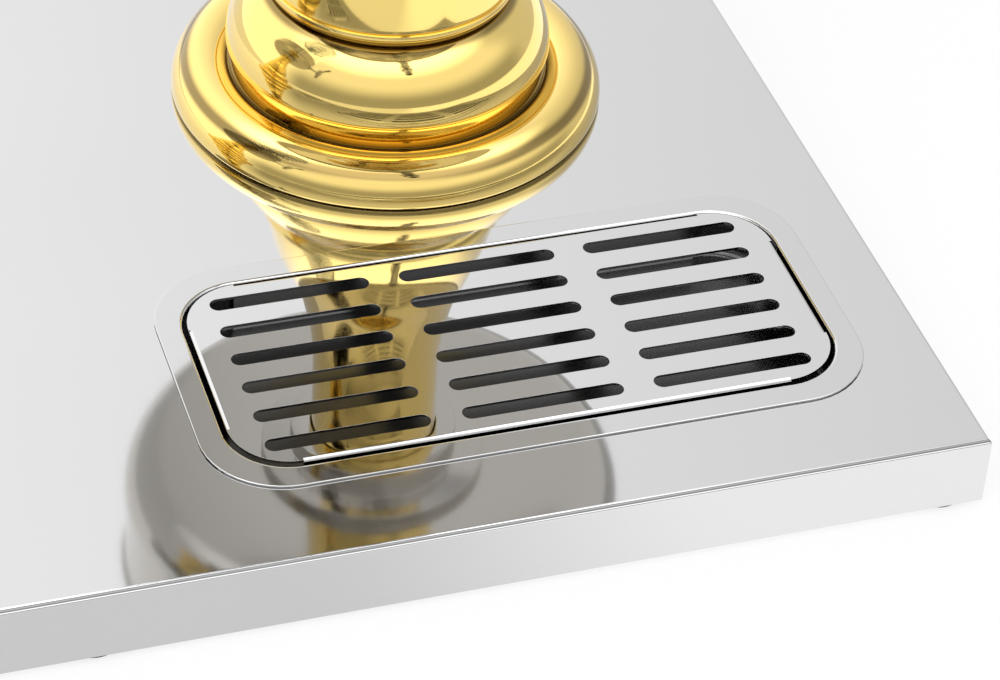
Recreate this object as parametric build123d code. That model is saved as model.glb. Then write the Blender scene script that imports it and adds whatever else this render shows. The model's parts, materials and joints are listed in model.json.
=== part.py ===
from build123d import *
import math
import os

# Twin juice dispenser, ice cooled. Millimetres; +X to the right, -Y towards the user, +Z up.
# The origin is under the middle of the base, on the surface that it stands on.

SIDES = {"left": -1, "right": 1}

# Base: one folded steel tray, open underneath, on stick-on rubber pads
BASE_WIDTH = 584.0
BASE_DEPTH = 360.0
BASE_SKIRT = 25.5
BASE_SHEET = 1.0
BASE_BEND = 2.0
BASE_LIP = 24.0
PAD_HEIGHT = 2.5
PAD_RADIUS = 10.0
PAD_COLUMNS = 3
PAD_ROWS = 2

# Where the two stations stand on the base
STATION_INSET = 135.0
TRAY_SETBACK = 88.5
PEDESTAL_SETBACK = 236.0

# Drip pan, hung by its flange in a cut-out of the base
PAN_WIDTH = 224.0
PAN_DEPTH = 112.0
PAN_CORNER = 27.0
PAN_SHEET = 0.8
PAN_DROP = 17.0
PAN_CLEARANCE = 1.0
CUT_OUT_CORNER = 8.0

# Drip grille, standing on its bent edges inside the pan
GRILLE_WIDTH = 204.0
GRILLE_DEPTH = 91.0
GRILLE_CORNER = 20.0
GRILLE_SHEET = 1.0
GRILLE_BEND = 2.0
GRILLE_PROUD = 0.6
GRILLE_GAP = 1.5
SLOT_LENGTH = 54.5
SLOT_WIDTH = 6.1
SLOT_COLUMNS = 3
SLOT_ROWS = 6
SLOT_PITCH_X = 65.0
SLOT_PITCH_Y = 14.5

# Pedestal: turned pieces stacked on a tie rod
RING_RADIUS = 77.0
RING_TOE = 2.0
RING_BEAD = 12.3
RING_SEAT_RADIUS = 57.0
RING_BORE = 46.0
DOME_RADIUS = 57.7
DOME_SKIRT_RADIUS = 56.4
DOME_SKIRT = 8.3
DOME_HEIGHT = 32.6
DOME_TOP_RADIUS = 43.6
DOME_BORE = 43.0
COLLAR_RADIUS = 44.8
COLLAR_FOOT_RADIUS = 42.0
COLLAR_HEIGHT = 6.0
COLLAR_BULGE = 0.8
COLUMN_FOOT_RADIUS = 43.6
COLUMN_WAIST_RADIUS = 33.0
COLUMN_WAIST_HEIGHT = 37.0
COLUMN_NECK_RADIUS = 24.0
COLUMN_NECK_HEIGHT = 83.0
COLUMN_HEIGHT = 121.5
PEDESTAL_WALL = 4.0
PEDESTAL_WEB = 4.0

# Hub between the column and the cup
HUB_RADIUS = 43.0
HUB_FLANGE = 4.0
HUB_BOSS_RADIUS = 32.0
HUB_BOSS_HEIGHT = 10.0

# Tie rod and what it clamps
ROD_RADIUS = 5.0
ROD_END = 2.0
NUT_HEIGHT = 8.0
NUT_FLATS = 17.0
NUT_SIDES = 6
WASHER_RADIUS = 12.0
WASHER_HEIGHT = 2.0
BACKING_WIDTH = 90.0
BACKING_HEIGHT = 2.5

# Steel cup under the tank
CUP_SHEET = 1.2
CUP_HEIGHT = 54.0
CUP_BEND = 15.0
CUP_RIM = 1.6
CUP_RIM_HEIGHT = 3.0

# Clear tank
TANK_RADIUS = 95.0
TANK_WALL = 3.0
TANK_FLOOR = 4.0
TANK_HEIGHT = 293.0
TANK_CHAMFER = 9.0
SEAT_GASKET_HEIGHT = 2.0
SEAT_GASKET_RADIUS = 40.0
CLAMP_SEAL_HEIGHT = 2.0
CLAMP_SEAL_RADIUS = 14.0

# Lid, with a raised seat for the ice tube
LID_SHEET = 1.0
LID_SKIRT = 12.0
LID_REST_WIDTH = 6.0
LID_RISE = 28.0
LID_SHOULDER_RADIUS = 72.0
LID_SHOULDER_RISE = 19.0
LID_SEAT_RADIUS = 40.0

# Ice tube, closed at the bottom
TUBE_RADIUS = 28.0
TUBE_WALL = 2.5
TUBE_FLOOR = 3.0
TUBE_CHAMFER = 4.0
TUBE_FLANGE_RADIUS = 37.0
TUBE_FLANGE = 3.0
TUBE_OVER_NUT = 7.0

# Cap of the ice tube and its knob
CAP_RADIUS = 39.0
CAP_SHEET = 1.2
CAP_EDGE = 3.0
CAP_RISE = 10.0
CAP_TOP_RADIUS = 9.0
KNOB_FOOT_RADIUS = 8.5
KNOB_NECK_RADIUS = 5.0
KNOB_NECK_HEIGHT = 4.0
KNOB_RADIUS = 14.5
KNOB_BELLY = 9.0
KNOB_CROWN = 9.0
KNOB_HEIGHT = 32.0
KNOB_BORE_DEPTH = 14.0
SCREW_RADIUS = 2.5
SCREW_HEAD_RADIUS = 4.6
SCREW_HEAD = 2.6
SCREW_END = 2.0

# Tap: barrel with a nozzle pressed in below, a shank through the walls behind, a bonnet above
TAP_RISE = 32.0
TAP_BARREL_RADIUS = 12.5
TAP_BARREL_BELOW = 14.0
TAP_BARREL_ABOVE = 20.0
TAP_CHAMBER_RADIUS = 8.5
TAP_SEAT_DROP = 8.0
SPOUT_LENGTH = 34.0
SPOUT_TOP_RADIUS = 9.4
SPOUT_TIP_RADIUS = 7.5
SPOUT_BORE = 5.0
SHANK_RADIUS = 8.0
SHANK_BORE = 5.5
SHANK_FLANGE_RADIUS = 15.0
SHANK_FLANGE = 3.0
SHANK_END = 2.0
TAP_GASKET = 2.2
TAP_GASKET_RADIUS = 14.0
TAP_NUT_HEIGHT = 6.0
TAP_NUT_FLATS = 24.0

# Bonnet with two ears that carry the lever pin
BONNET_RADIUS = 13.5
BONNET_HEIGHT = 10.0
BONNET_PLUG = 5.0
EAR_GAP = 10.8
EAR_THICKNESS = 3.0
EAR_RADIUS = 4.6
PIN_RADIUS = 1.5
PIN_RISE = 5.6
PIN_AHEAD = 8.5

# Valve stem, its seal and its spring
STEM_RADIUS = 2.2
STEM_COLLAR_RADIUS = 6.6
STEM_COLLAR = 1.5
STEM_HEAD_RADIUS = 4.2
STEM_HEAD = 3.0
STEM_SOCKET = 4.0
SEAL_RADIUS = 7.6
SEAL_HEIGHT = 7.0
SPRING_RADIUS = 4.8
SPRING_WIRE = 0.45
SPRING_TURNS = 4
SPRING_SIDES = 4
SPRING_SAMPLES = 24

# Lever: a fork under the stem's head, a hub on the pin, and a leaning arm with a grip
LEVER_HUB_RADIUS = 4.6
LEVER_WIDTH = 10.2
FORK_REACH = 10.5
FORK_TOP = 2.5
FORK_THICKNESS = 4.0
FORK_SLOT = 5.4
FORK_THROAT = 5.0
ARM_LEAN = 25.0
ARM_RADIUS = 3.0
ARM_LENGTH = 48.0
GRIP_START = 14.0
GRIP_LENGTH = 46.0
GRIP_RADIUS = 8.0
GRIP_NECK_RADIUS = 5.4
GRIP_CAP = 4.0

# Fits
FIT = 0.05
SLIP = 0.3
SEAT = 0.3
HOLE_ROOM = 0.5
OVERRUN = 5.0

# Places that follow from the sizes
HALF_TURN = 180
BASE_TOP = PAD_HEIGHT + BASE_SKIRT
STATION_PITCH = BASE_WIDTH - 2 * STATION_INSET
TRAY_Y = TRAY_SETBACK - BASE_DEPTH / 2
PEDESTAL_Y = PEDESTAL_SETBACK - BASE_DEPTH / 2
GRILLE_TOP = BASE_TOP + PAN_SHEET + GRILLE_PROUD
PAN_FLOOR = BASE_TOP - PAN_DROP + PAN_SHEET
ROD_HOLE = ROD_RADIUS + HOLE_ROOM

RING_CREST_RADIUS = RING_RADIUS - RING_BEAD
RING_SEAT = RING_TOE + math.sqrt(RING_BEAD**2 - (RING_CREST_RADIUS - RING_SEAT_RADIUS)**2)
DOME_BASE = BASE_TOP + RING_SEAT
COLLAR_BASE = DOME_BASE + DOME_HEIGHT
COLUMN_BASE = COLLAR_BASE + COLLAR_HEIGHT
COLUMN_TOP = COLUMN_BASE + COLUMN_HEIGHT
CUP_BASE = COLUMN_TOP + HUB_FLANGE
CUP_FLOOR = CUP_BASE + CUP_SHEET
TANK_BASE = CUP_FLOOR + SEAT_GASKET_HEIGHT
TANK_FLOOR_TOP = TANK_BASE + TANK_FLOOR
TANK_TOP = TANK_BASE + TANK_HEIGHT
TANK_BORE = TANK_RADIUS - TANK_WALL
CUP_BORE = TANK_RADIUS + HOLE_ROOM
CUP_RADIUS = CUP_BORE + CUP_SHEET
CLAMP_TOP = TANK_FLOOR_TOP + CLAMP_SEAL_HEIGHT + WASHER_HEIGHT
ROD_TOP = CLAMP_TOP + NUT_HEIGHT + ROD_END
BACKING_TOP = BASE_TOP - BASE_SHEET
WASHER_TOP = BACKING_TOP - BACKING_HEIGHT
LOWER_NUT_TOP = WASHER_TOP - WASHER_HEIGHT
ROD_BOTTOM = LOWER_NUT_TOP - NUT_HEIGHT - ROD_END

LID_BORE = TANK_RADIUS + 2 * SLIP
LID_RADIUS = LID_BORE + LID_SHEET
LID_CROWN_RADIUS = TANK_RADIUS - LID_REST_WIDTH
LID_SEAT_TOP = TANK_TOP + LID_SHEET + LID_RISE
LID_HOLE = TUBE_RADIUS + HOLE_ROOM
TUBE_TOP = LID_SEAT_TOP + TUBE_FLANGE
TUBE_BASE = ROD_TOP + TUBE_OVER_NUT
TUBE_BORE = TUBE_RADIUS - TUBE_WALL
CAP_TOP = TUBE_TOP + CAP_EDGE + CAP_RISE
CAP_SKIRT = TUBE_FLANGE - SEAT
CAP_BORE = TUBE_FLANGE_RADIUS + HOLE_ROOM

TAP_Z = CUP_BASE + TAP_RISE
TAP_REACH = PEDESTAL_Y - TRAY_Y
BARREL_TOP = TAP_Z + TAP_BARREL_ABOVE
BARREL_BOTTOM = TAP_Z - TAP_BARREL_BELOW
SPOUT_TIP = BARREL_BOTTOM - SPOUT_LENGTH
VALVE_SEAT = TAP_Z - TAP_SEAT_DROP
SEAL_TOP = VALVE_SEAT + SEAL_HEIGHT
STEM_COLLAR_TOP = SEAL_TOP + STEM_COLLAR
BONNET_TOP = BARREL_TOP + BONNET_HEIGHT
BONNET_PLUG_BOTTOM = BARREL_TOP - BONNET_PLUG
PIN_Z = BONNET_TOP + PIN_RISE
STEM_HEAD_BOTTOM = PIN_Z + FORK_TOP + SEAT
FLANGE_BACK = TAP_REACH - CUP_RADIUS - TAP_GASKET
NUT_FACE = TAP_REACH - TANK_BORE + TAP_GASKET


def turned(*edges):
    """A solid turned about the vertical axis from a closed outline of (radius, height)."""
    outline = make_face(Curve() + list(edges))
    return revolve(Plane.XZ * outline, Axis.Z)


def post(radius, height, base=0):
    """An upright cylinder that stands at the height called base."""
    cylinder = Cylinder(radius, height, align=(Align.CENTER, Align.CENTER, Align.MIN))
    return Pos(0, 0, base) * cylinder


def pipe(radius, bore, height, base=0):
    """An upright tube, washer or bush."""
    return post(radius, height, base) - post(bore, height + 2 * OVERRUN, base - OVERRUN)


def slab(width, depth, height, base=0):
    """An upright box that stands at the height called base."""
    box = Box(width, depth, height, align=(Align.CENTER, Align.CENTER, Align.MIN))
    return Pos(0, 0, base) * box


def rounded_slab(width, depth, corner, height, base=0):
    """A box with four rounded upright corners."""
    return extrude(Pos(0, 0, base) * RectangleRounded(width, depth, corner), height)


def bar(radius, start, end, height):
    """A cylinder along Y, from start to end, at a height."""
    lying = Pos(0, start, height) * Rot(-HALF_TURN / 2, 0, 0)
    return lying * Cylinder(radius, end - start, align=(Align.CENTER, Align.CENTER, Align.MIN))


def hex_nut(flats, bore, height, base=0):
    """A hexagon nut, its thread shown as a plain bore."""
    blank = extrude(Pos(0, 0, base) * RegularPolygon(flats / 2, NUT_SIDES, major_radius=False), height)
    return blank - post(bore, height + 2 * OVERRUN, base - OVERRUN)


def upper_edges(solid):
    return solid.faces().sort_by(Axis.Z)[-1].edges()


# Base

def pan_well(inset=0):
    """The outside of the pan's well, or with an inset the inside of its walls."""
    width = GRILLE_WIDTH + 2 * (GRILLE_GAP + PAN_SHEET - inset)
    depth = GRILLE_DEPTH + 2 * (GRILLE_GAP + PAN_SHEET - inset)
    corner = GRILLE_CORNER + GRILLE_GAP + PAN_SHEET - inset
    height = PAN_DROP + PAN_SHEET - inset
    return rounded_slab(width, depth, corner, height, BASE_TOP - PAN_DROP + inset)


def base_shell():
    outer = slab(BASE_WIDTH, BASE_DEPTH, BASE_SKIRT, PAD_HEIGHT)
    outer = fillet(upper_edges(outer), BASE_BEND)
    inner_width = BASE_WIDTH - 2 * BASE_SHEET
    inner_depth = BASE_DEPTH - 2 * BASE_SHEET
    inner = slab(inner_width, inner_depth, BASE_SKIRT - 2 * BASE_SHEET, PAD_HEIGHT + BASE_SHEET)
    inner = fillet(upper_edges(inner), BASE_BEND - BASE_SHEET)
    mouth = slab(BASE_WIDTH - 2 * BASE_LIP, BASE_DEPTH - 2 * BASE_LIP, BASE_SKIRT / 2, 0)
    shell = outer - inner - mouth
    room = PAN_SHEET + GRILLE_GAP + PAN_CLEARANCE
    width = GRILLE_WIDTH + 2 * room
    depth = GRILLE_DEPTH + 2 * room
    cut_out = rounded_slab(width, depth, CUT_OUT_CORNER, BASE_SKIRT, BASE_TOP - BASE_SKIRT / 2)
    rod_hole = post(ROD_HOLE, BASE_SKIRT, BASE_TOP - BASE_SKIRT / 2)
    for side in SIDES.values():
        x = side * STATION_PITCH / 2
        shell -= Pos(x, TRAY_Y, 0) * cut_out
        shell -= Pos(x, PEDESTAL_Y, 0) * rod_hole
    return shell


def rubber_pads():
    pitch_x = (BASE_WIDTH - BASE_LIP) / (PAD_COLUMNS - 1)
    pitch_y = (BASE_DEPTH - BASE_LIP) / (PAD_ROWS - 1)
    places = GridLocations(pitch_x, pitch_y, PAD_COLUMNS, PAD_ROWS)
    return [place * post(PAD_RADIUS, PAD_HEIGHT) for place in places]


def backing_plate():
    """The plate under the base that spreads the pull of the tie rod."""
    plate = slab(BACKING_WIDTH, BACKING_WIDTH, BACKING_HEIGHT, WASHER_TOP)
    return plate - post(ROD_HOLE, BASE_SKIRT, PAD_HEIGHT)


# Drip pan and grille

def drip_pan():
    flange = rounded_slab(PAN_WIDTH, PAN_DEPTH, PAN_CORNER, PAN_SHEET, BASE_TOP)
    return flange + pan_well() - pan_well(PAN_SHEET)


def bent_edge(length, drop):
    """A straight edge of sheet bent down, run along X, its flat side ending at the origin."""
    sheet = GRILLE_SHEET
    bend = GRILLE_BEND
    inner = bend - sheet
    outline = Curve() + [
        TangentArc((0, 0), (bend, -bend), tangent=(1, 0)),
        Polyline((bend, -bend), (bend, -drop), (inner, -drop), (inner, -bend)),
        TangentArc((inner, -bend), (0, -sheet), tangent=(0, 1)),
        Line((0, -sheet), (0, 0)),
    ]
    return Pos(-length / 2, 0, 0) * extrude(Plane.YZ * make_face(outline), length)


def drip_grille():
    long_edge = GRILLE_WIDTH - 2 * GRILLE_CORNER
    short_edge = GRILLE_DEPTH - 2 * GRILLE_CORNER
    drop = GRILLE_TOP - PAN_FLOOR
    outline = RectangleRounded(GRILLE_WIDTH, GRILLE_DEPTH, GRILLE_CORNER)
    for turn in (1, -1):
        outline -= Pos(0, turn * GRILLE_DEPTH / 2, 0) * Rectangle(long_edge, 2 * GRILLE_BEND)
        outline -= Pos(turn * GRILLE_WIDTH / 2, 0, 0) * Rectangle(2 * GRILLE_BEND, short_edge)
    slots = GridLocations(SLOT_PITCH_X, SLOT_PITCH_Y, SLOT_COLUMNS, SLOT_ROWS)
    outline -= slots * SlotOverall(SLOT_LENGTH, SLOT_WIDTH)
    grille = extrude(Pos(0, 0, GRILLE_TOP - GRILLE_SHEET) * outline, GRILLE_SHEET)
    for angle in (0, HALF_TURN):
        front = Pos(0, GRILLE_DEPTH / 2 - GRILLE_BEND, GRILLE_TOP) * bent_edge(long_edge, drop)
        end = Pos(0, GRILLE_WIDTH / 2 - GRILLE_BEND, GRILLE_TOP) * bent_edge(short_edge, drop)
        grille += Rot(0, 0, angle) * front
        grille += Rot(0, 0, angle + HALF_TURN / 2) * end
    return grille


# Pedestal

def pedestal_ring():
    toe = TangentArc((RING_RADIUS - RING_TOE, 0), (RING_RADIUS, RING_TOE), tangent=(1, 0))
    bead = TangentArc(toe @ 1, (RING_SEAT_RADIUS, RING_SEAT), tangent=(0, 1))
    inside = Polyline(bead @ 1, (RING_BORE, RING_SEAT), (RING_BORE, 0), toe @ 0)
    return Pos(0, 0, BASE_TOP) * turned(toe, bead, inside)


def pedestal_dome():
    web = DOME_HEIGHT - PEDESTAL_WEB
    cavity_top = DOME_TOP_RADIUS - PEDESTAL_WALL - PEDESTAL_WEB
    rim = DOME_SKIRT + DOME_RADIUS - DOME_SKIRT_RADIUS
    skirt = Line((DOME_SKIRT_RADIUS, 0), (DOME_SKIRT_RADIUS, DOME_SKIRT))
    lip = TangentArc(skirt @ 1, (DOME_RADIUS, rim), tangent=(1, 0))
    crown = TangentArc(lip @ 1, (DOME_TOP_RADIUS, DOME_HEIGHT), tangent=(0, 1))
    inside = Polyline(
        crown @ 1,
        (ROD_HOLE, DOME_HEIGHT),
        (ROD_HOLE, web),
        (cavity_top, web),
        (DOME_BORE, 0),
        skirt @ 0,
    )
    return Pos(0, 0, DOME_BASE) * turned(skirt, lip, crown, inside)


def pedestal_collar():
    middle = ((COLLAR_FOOT_RADIUS + COLLAR_RADIUS) / 2 + COLLAR_BULGE, COLLAR_HEIGHT / 2)
    band = ThreePointArc((COLLAR_FOOT_RADIUS, 0), middle, (COLLAR_RADIUS, COLLAR_HEIGHT))
    bore = COLUMN_FOOT_RADIUS - 2 * PEDESTAL_WALL
    inside = Polyline(band @ 1, (bore, COLLAR_HEIGHT), (bore, 0), band @ 0)
    return Pos(0, 0, COLLAR_BASE) * turned(band, inside)


def pedestal_column():
    web = COLUMN_HEIGHT - PEDESTAL_WEB
    bore = COLUMN_NECK_RADIUS - PEDESTAL_WALL
    neck = Line((COLUMN_NECK_RADIUS, COLUMN_HEIGHT), (COLUMN_NECK_RADIUS, COLUMN_NECK_HEIGHT))
    waist = TangentArc(neck @ 1, (COLUMN_WAIST_RADIUS, COLUMN_WAIST_HEIGHT), tangent=(0, -1))
    foot = TangentArc(waist @ 1, (COLUMN_FOOT_RADIUS, 0), tangent=waist % 1)
    inside = Polyline(
        foot @ 1,
        (COLUMN_FOOT_RADIUS - 2 * PEDESTAL_WALL, 0),
        (bore, COLUMN_NECK_HEIGHT),
        (bore, web),
        (ROD_HOLE, web),
        (ROD_HOLE, COLUMN_HEIGHT),
        neck @ 0,
    )
    return Pos(0, 0, COLUMN_BASE) * turned(neck, waist, foot, inside)


def column_hub():
    boss = post(HUB_BOSS_RADIUS, HUB_BOSS_HEIGHT, COLUMN_TOP - HUB_BOSS_HEIGHT)
    flange = post(HUB_RADIUS, HUB_FLANGE, COLUMN_TOP)
    socket = post(COLUMN_NECK_RADIUS + SLIP, HUB_BOSS_HEIGHT, COLUMN_TOP - HUB_BOSS_HEIGHT)
    return boss + flange - socket - post(ROD_HOLE, HUB_FLANGE + 2 * OVERRUN, COLUMN_TOP - OVERRUN)


def tie_rod():
    return post(ROD_RADIUS, ROD_TOP - ROD_BOTTOM, ROD_BOTTOM)


def tie_rod_nuts():
    bore = ROD_RADIUS + FIT
    lower = hex_nut(NUT_FLATS, bore, NUT_HEIGHT, LOWER_NUT_TOP - NUT_HEIGHT)
    return [lower, hex_nut(NUT_FLATS, bore, NUT_HEIGHT, CLAMP_TOP)]


def tie_rod_washers():
    lower = pipe(WASHER_RADIUS, ROD_HOLE, WASHER_HEIGHT, LOWER_NUT_TOP)
    return [lower, pipe(WASHER_RADIUS, ROD_HOLE, WASHER_HEIGHT, CLAMP_TOP - WASHER_HEIGHT)]


# Cup and tank

def bowl(radius, bend, height, base):
    """A solid round tub shape with a rounded bottom edge."""
    edge = TangentArc((radius - bend, 0), (radius, bend), tangent=(1, 0))
    rest = Polyline(edge @ 1, (radius, height), (0, height), (0, 0), edge @ 0)
    return Pos(0, 0, base) * turned(edge, rest)


def tub(radius, chamfer, height, base):
    """A solid round tub shape with a bevelled bottom edge."""
    edge = [(radius - chamfer, 0), (radius, chamfer), (radius, height), (0, height), (0, 0)]
    return Pos(0, 0, base) * turned(Polyline(*edge, close=True))


def shank_hole():
    return bar(SHANK_RADIUS + SLIP, -TANK_RADIUS - CUP_BEND, -TANK_RADIUS / 2, TAP_Z)


def tank_cup():
    outer = bowl(CUP_RADIUS, CUP_BEND, CUP_HEIGHT, CUP_BASE)
    outer += post(CUP_RADIUS + CUP_RIM, CUP_RIM_HEIGHT, CUP_BASE + CUP_HEIGHT - CUP_RIM_HEIGHT)
    inner = bowl(CUP_BORE, CUP_BEND - CUP_SHEET, CUP_HEIGHT, CUP_FLOOR)
    return outer - inner - post(ROD_HOLE, CUP_HEIGHT, CUP_BASE - OVERRUN) - shank_hole()


def tank_seat_gasket():
    return pipe(SEAT_GASKET_RADIUS, ROD_HOLE, SEAT_GASKET_HEIGHT, CUP_FLOOR)


def tank():
    outer = tub(TANK_RADIUS, TANK_CHAMFER, TANK_HEIGHT, TANK_BASE)
    inner = tub(TANK_BORE, TANK_CHAMFER - TANK_WALL / 2, TANK_HEIGHT, TANK_FLOOR_TOP)
    return outer - inner - post(ROD_HOLE, CUP_HEIGHT, CUP_BASE) - shank_hole()


def clamp_seal():
    return pipe(CLAMP_SEAL_RADIUS, ROD_HOLE, CLAMP_SEAL_HEIGHT, TANK_FLOOR_TOP)


# Lid, ice tube and cap

def lid_outline(inset, hole):
    """The lid from its skirt to its seat as a solid shape, or with an inset its underside."""
    wall = LID_RADIUS - inset
    bottom = TANK_TOP - LID_SKIRT - inset
    rest = TANK_TOP + LID_SHEET - inset
    shoulder = TANK_TOP + LID_SHEET + LID_SHOULDER_RISE - inset
    seat = LID_SEAT_TOP - inset
    outline = Polyline(
        (wall, bottom),
        (wall, rest),
        (LID_CROWN_RADIUS, rest),
        (LID_SHOULDER_RADIUS, shoulder),
        (LID_SEAT_RADIUS, seat),
        (hole, seat),
        (hole, bottom),
        (wall, bottom),
    )
    return turned(outline)


def lid():
    return lid_outline(0, LID_HOLE) - lid_outline(LID_SHEET, LID_HOLE - OVERRUN)


def ice_tube():
    length = TUBE_TOP - TUBE_BASE
    outer = tub(TUBE_RADIUS, TUBE_CHAMFER, length, TUBE_BASE)
    flange = post(TUBE_FLANGE_RADIUS, TUBE_FLANGE, LID_SEAT_TOP)
    inner = tub(TUBE_BORE, TUBE_CHAMFER - TUBE_WALL / 2, length, TUBE_BASE + TUBE_FLOOR)
    return outer + flange - inner


def ice_cap():
    """A shallow turned cap that rests on the tube's flange, with a short skirt round it."""
    screw_hole = SCREW_RADIUS + SLIP
    top = CAP_EDGE + CAP_RISE
    outline = Polyline(
        (CAP_RADIUS, -CAP_SKIRT),
        (CAP_RADIUS, CAP_EDGE),
        (CAP_TOP_RADIUS, top),
        (screw_hole, top),
        (screw_hole, top - CAP_SHEET),
        (CAP_TOP_RADIUS, top - CAP_SHEET),
        (TUBE_BORE, CAP_EDGE - CAP_SHEET),
        (TUBE_BORE, 0),
        (CAP_BORE, 0),
        (CAP_BORE, -CAP_SKIRT),
        (CAP_RADIUS, -CAP_SKIRT),
    )
    return Pos(0, 0, TUBE_TOP) * turned(outline)


def cap_knob():
    """A turned knob: foot, waist, belly, shoulder and a small flat top."""
    belly = KNOB_HEIGHT - KNOB_RADIUS
    outline = Polyline(
        (KNOB_FOOT_RADIUS, 0),
        (KNOB_NECK_RADIUS, KNOB_NECK_HEIGHT),
        (KNOB_NECK_RADIUS, belly - KNOB_CROWN),
        (KNOB_RADIUS, belly - KNOB_BELLY / 2),
        (KNOB_RADIUS, belly + KNOB_BELLY / 2),
        (KNOB_RADIUS - KNOB_CROWN / 2, KNOB_HEIGHT - KNOB_CROWN / 2),
        (KNOB_RADIUS - KNOB_CROWN, KNOB_HEIGHT),
        (0, KNOB_HEIGHT),
        (0, KNOB_BORE_DEPTH),
        (SCREW_RADIUS + FIT, KNOB_BORE_DEPTH),
        (SCREW_RADIUS + FIT, 0),
        (KNOB_FOOT_RADIUS, 0),
    )
    return Pos(0, 0, CAP_TOP) * turned(outline)


def knob_screw():
    head_top = CAP_TOP - CAP_SHEET
    head = post(SCREW_HEAD_RADIUS, SCREW_HEAD, head_top - SCREW_HEAD)
    length = CAP_TOP + KNOB_BORE_DEPTH - SCREW_END - head_top
    return head + post(SCREW_RADIUS, length, head_top)


# Tap. The tap's own axis is at x = 0, y = 0 here; the tank's axis is TAP_REACH behind it.

def tap_body():
    body = post(TAP_BARREL_RADIUS, BARREL_TOP - BARREL_BOTTOM, BARREL_BOTTOM)
    shank_end = NUT_FACE + TAP_NUT_HEIGHT + SHANK_END
    body += bar(SHANK_RADIUS, 0, shank_end, TAP_Z)
    body += bar(SHANK_FLANGE_RADIUS, FLANGE_BACK - SHANK_FLANGE, FLANGE_BACK, TAP_Z)
    body -= post(TAP_CHAMBER_RADIUS, BARREL_TOP - BARREL_BOTTOM, BARREL_BOTTOM)
    return body - bar(SHANK_BORE, 0, shank_end, TAP_Z)


def tap_spout():
    """The nozzle: a tapered spout below the barrel, its top end the valve's seat."""
    spigot = TAP_CHAMBER_RADIUS - FIT
    outline = Polyline(
        (SPOUT_BORE, SPOUT_TIP),
        (SPOUT_TIP_RADIUS, SPOUT_TIP),
        (SPOUT_TOP_RADIUS, BARREL_BOTTOM),
        (spigot, BARREL_BOTTOM),
        (spigot, VALVE_SEAT),
        (SPOUT_BORE, VALVE_SEAT),
        (SPOUT_BORE, SPOUT_TIP),
    )
    return turned(outline)


def wall_column(radius):
    """The tank's upright round wall, seen from the tap's axis."""
    half = TAP_GASKET_RADIUS + OVERRUN
    return Pos(0, TAP_REACH, 0) * post(radius, 2 * half, TAP_Z - half)


def tap_outer_gasket():
    ring = bar(TAP_GASKET_RADIUS, FLANGE_BACK, FLANGE_BACK + 2 * TAP_GASKET, TAP_Z)
    ring -= bar(SHANK_RADIUS + SLIP, 0, TAP_REACH, TAP_Z)
    return ring - wall_column(CUP_RADIUS)


def tap_inner_gasket():
    ring = bar(TAP_GASKET_RADIUS, NUT_FACE - 2 * TAP_GASKET, NUT_FACE, TAP_Z)
    ring -= bar(SHANK_RADIUS + SLIP, 0, TAP_REACH, TAP_Z)
    return ring & wall_column(TANK_BORE)


def tap_nut():
    nut = hex_nut(TAP_NUT_FLATS, SHANK_RADIUS + FIT, TAP_NUT_HEIGHT)
    return Pos(0, NUT_FACE, TAP_Z) * Rot(-HALF_TURN / 2, 0, 0) * nut


def tap_bonnet():
    bonnet = post(BONNET_RADIUS, BONNET_HEIGHT, BARREL_TOP)
    bonnet += post(TAP_CHAMBER_RADIUS - FIT, BONNET_PLUG, BONNET_PLUG_BOTTOM)
    ear_height = PIN_RISE
    for turn in (1, -1):
        x = turn * (EAR_GAP + EAR_THICKNESS) / 2
        ear = slab(EAR_THICKNESS, 2 * EAR_RADIUS, ear_height, BONNET_TOP)
        ear += Pos(0, 0, PIN_Z) * Rot(0, HALF_TURN / 2, 0) * Cylinder(EAR_RADIUS, EAR_THICKNESS)
        bonnet += Pos(x, -PIN_AHEAD, 0) * ear
    bonnet -= post(STEM_RADIUS + FIT, BONNET_HEIGHT + 2 * OVERRUN, BONNET_PLUG_BOTTOM - OVERRUN)
    return bonnet - lever_pin(FIT / 2)


def lever_pin(room=0):
    length = EAR_GAP + 2 * EAR_THICKNESS
    pin = Rot(0, HALF_TURN / 2, 0) * Cylinder(PIN_RADIUS + room, length)
    return Pos(0, -PIN_AHEAD, PIN_Z) * pin


def tap_stem():
    stem = post(STEM_RADIUS, STEM_HEAD_BOTTOM - SEAL_TOP + STEM_SOCKET, SEAL_TOP - STEM_SOCKET)
    stem += post(STEM_COLLAR_RADIUS, STEM_COLLAR, SEAL_TOP)
    return stem + post(STEM_HEAD_RADIUS, STEM_HEAD, STEM_HEAD_BOTTOM)


def tap_seal():
    seal = post(SEAL_RADIUS, SEAL_HEIGHT, VALVE_SEAT)
    return seal - post(STEM_RADIUS + FIT, STEM_SOCKET + SEAT, SEAL_TOP - STEM_SOCKET - SEAT)


def helix_point(turn, rise):
    angle = turn * 2 * math.pi
    return Vector(SPRING_RADIUS * math.cos(angle), SPRING_RADIUS * math.sin(angle), turn * rise)


def helix_tangent(turn, rise):
    angle = turn * 2 * math.pi
    slope = rise / (2 * math.pi)
    along = Vector(-SPRING_RADIUS * math.sin(angle), SPRING_RADIUS * math.cos(angle), slope)
    return along.normalized()


def least_gap(rise):
    """The smallest gap between one turn of the wire and the turns beside it, measured on points."""
    points = [helix_point(step / SPRING_SAMPLES, rise) for step in range(SPRING_TURNS * SPRING_SAMPLES + 1)]
    half = SPRING_SAMPLES // 2
    apart = [(b - a).length for i, a in enumerate(points) for b in points[i + half:]]
    return min(apart) - 2 * SPRING_WIRE


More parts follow.
